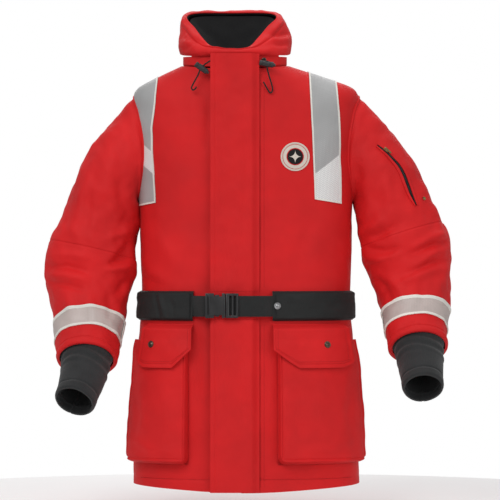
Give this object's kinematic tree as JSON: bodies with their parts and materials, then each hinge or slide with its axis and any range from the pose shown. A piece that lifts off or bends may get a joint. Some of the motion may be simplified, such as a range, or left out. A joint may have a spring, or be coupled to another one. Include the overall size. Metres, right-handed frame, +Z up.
{
  "type": "foul weather jacket",
  "caption": "Foam-lined sailing coat with hood, storm flap, belt with side-release buckle, bellows pockets and jointed sleeves.",
  "frame": {"origin": "middle of the coat at the height of the neck seam, where shoulders or a hanger hold it up", "axes": "+Z up, the coat's front faces -Y, +X to the right of someone who looks at its front"},
  "size_m": [0.7764, 0.3629, 0.9082],
  "materials": {
    "red_shell": "matte",
    "foam": "matte",
    "lining": "matte",
    "webbing": "matte",
    "plastic": "satin",
    "reflective": "satin",
    "neoprene": "matte",
    "bronze": "satin",
    "cord": "matte"
  },
  "bodies": {
    "coat": {"front_panel_left": "red_shell", "front_panel_right": "red_shell", "back_panel": "red_shell", "foam_front_left": "foam", "foam_front_right": "foam", "foam_back": "foam", "lining_front_left": "lining", "lining_front_right": "lining", "lining_back": "lining", "collar": "red_shell", "hanger_loop": "lining", "hood_cowl": "red_shell", "zip_tape_left": "lining", "zip_tape_right": "lining", "storm_flap_middle": "red_shell", "storm_flap_strip": "red_shell", "belt_keeper_left": "webbing", "belt_keeper_right": "webbing", "belt_back": "webbing", "belt_end_left": "webbing", "belt_end_right": "webbing", "buckle_female": "plastic", "belt_snap": "bronze", "pocket_left": "red_shell", "pocket_right": "red_shell", "shoulder_tape_left": "reflective", "shoulder_tape_right": "reflective", "eyelet_left": "bronze", "eyelet_right": "bronze", "hood_cord_left": "cord", "hood_cord_right": "cord", "cord_lock_left": "plastic", "cord_lock_right": "plastic", "sleeve_cap_left": "red_shell", "sleeve_cap_right": "red_shell"},
    "hood_bag": {"hood_bag": "red_shell"},
    "flap_upper": {"storm_flap_upper": "red_shell"},
    "flap_lower": {"storm_flap_lower": "red_shell"},
    "zip_slider": {"zip_slider": "bronze"},
    "zip_pull": {"zip_pull": "bronze"},
    "pocket_flap_left": {"pocket_flap_left": "red_shell", "pocket_snap_left": "bronze"},
    "pocket_flap_right": {"pocket_flap_right": "red_shell", "pocket_snap_right": "bronze"},
    "buckle_male": {"buckle_male": "plastic"},
    "plunger_left": {"lock_plunger_left": "plastic"},
    "plunger_right": {"lock_plunger_right": "plastic"},
    "upper_sleeve_left": {"upper_sleeve_left": "red_shell", "elbow_fold_left": "red_shell"},
    "upper_sleeve_right": {"upper_sleeve_right": "red_shell", "elbow_fold_right": "red_shell", "sleeve_zip": "lining", "sleeve_rivet": "bronze"},
    "lower_sleeve_left": {"lower_sleeve_left": "red_shell", "wrist_tape_left": "reflective", "cuff_left": "neoprene"},
    "lower_sleeve_right": {"lower_sleeve_right": "red_shell", "wrist_tape_right": "reflective", "cuff_right": "neoprene"},
    "sleeve_slider": {"sleeve_zip_slider": "bronze"}
  },
  "joints": [
    {"name": "shoulder_left", "type": "hinge", "parent": "coat", "child": "upper_sleeve_left", "pos_m": [-0.196, 0.004, -0.092], "axis": [0, 1, 0], "range_deg": [0, 65], "deforming": ["sleeve_cap_left"]},
    {"name": "shoulder_right", "type": "hinge", "parent": "coat", "child": "upper_sleeve_right", "pos_m": [0.196, 0.004, -0.092], "axis": [0, -1, 0], "range_deg": [0, 65], "deforming": ["sleeve_cap_right"]},
    {"name": "elbow_left", "type": "hinge", "parent": "upper_sleeve_left", "child": "lower_sleeve_left", "pos_m": [-0.296, -0.06, -0.388], "axis": [-1, 0, 0], "range_deg": [0, 65], "deforming": ["elbow_fold_left"]},
    {"name": "elbow_right", "type": "hinge", "parent": "upper_sleeve_right", "child": "lower_sleeve_right", "pos_m": [0.314, -0.06, -0.356], "axis": [-1, 0, 0], "range_deg": [0, 65], "deforming": ["elbow_fold_right"]},
    {"name": "hood_lift", "type": "hinge", "parent": "coat", "child": "hood_bag", "pos_m": [-0.021, 0.07257, 0.08231], "axis": [1, 0, 0], "range_deg": [0, 85]},
    {"name": "flap_upper_peel", "type": "hinge", "parent": "coat", "child": "flap_upper", "pos_m": [0.0127, -0.11298, 0.00081], "axis": [0, 0.0509, 0.9987], "range_deg": [0, 110]},
    {"name": "flap_lower_peel", "type": "hinge", "parent": "coat", "child": "flap_lower", "pos_m": [0.0127, -0.11298, 0.00081], "axis": [0, 0.0509, 0.9987], "range_deg": [0, 110]},
    {"name": "zip_run", "type": "slide", "parent": "coat", "child": "zip_slider", "axis": [0, -0.0509, -0.9987], "range_m": [0, 0.64]},
    {"name": "zip_pull_swing", "type": "hinge", "parent": "zip_slider", "child": "zip_pull", "pos_m": [-0.024, -0.10746, -0.02185], "axis": [0, 1, 0], "range_deg": [-25, 25]},
    {"name": "pocket_flap_left_lift", "type": "hinge", "parent": "coat", "child": "pocket_flap_left", "pos_m": [-0.14336, -0.10493, -0.4885], "axis": [-0.8923, 0.4515, 0], "range_deg": [0, 70]},
    {"name": "pocket_flap_right_lift", "type": "hinge", "parent": "coat", "child": "pocket_flap_right", "pos_m": [0.13855, -0.10716, -0.4885], "axis": [-0.9361, -0.3517, 0], "range_deg": [0, 70]},
    {"name": "buckle_release", "type": "slide", "parent": "coat", "child": "buckle_male", "axis": [1, 0, 0], "range_m": [0, 0.028], "deforming": ["belt_end_right"]},
    {"name": "lock_left_press", "type": "slide", "parent": "coat", "child": "plunger_left", "axis": [-0.8211, 0, 0.5708], "range_m": [0, 0.004], "stiffness_N_per_m": 150},
    {"name": "lock_right_press", "type": "slide", "parent": "coat", "child": "plunger_right", "axis": [-0.9853, 0, 0.1709], "range_m": [0, 0.004], "stiffness_N_per_m": 150},
    {"name": "sleeve_zip_run", "type": "slide", "parent": "upper_sleeve_right", "child": "sleeve_slider", "axis": [0.7623, -0.0903, -0.6409], "range_m": [0, 0.04]}
  ]
}
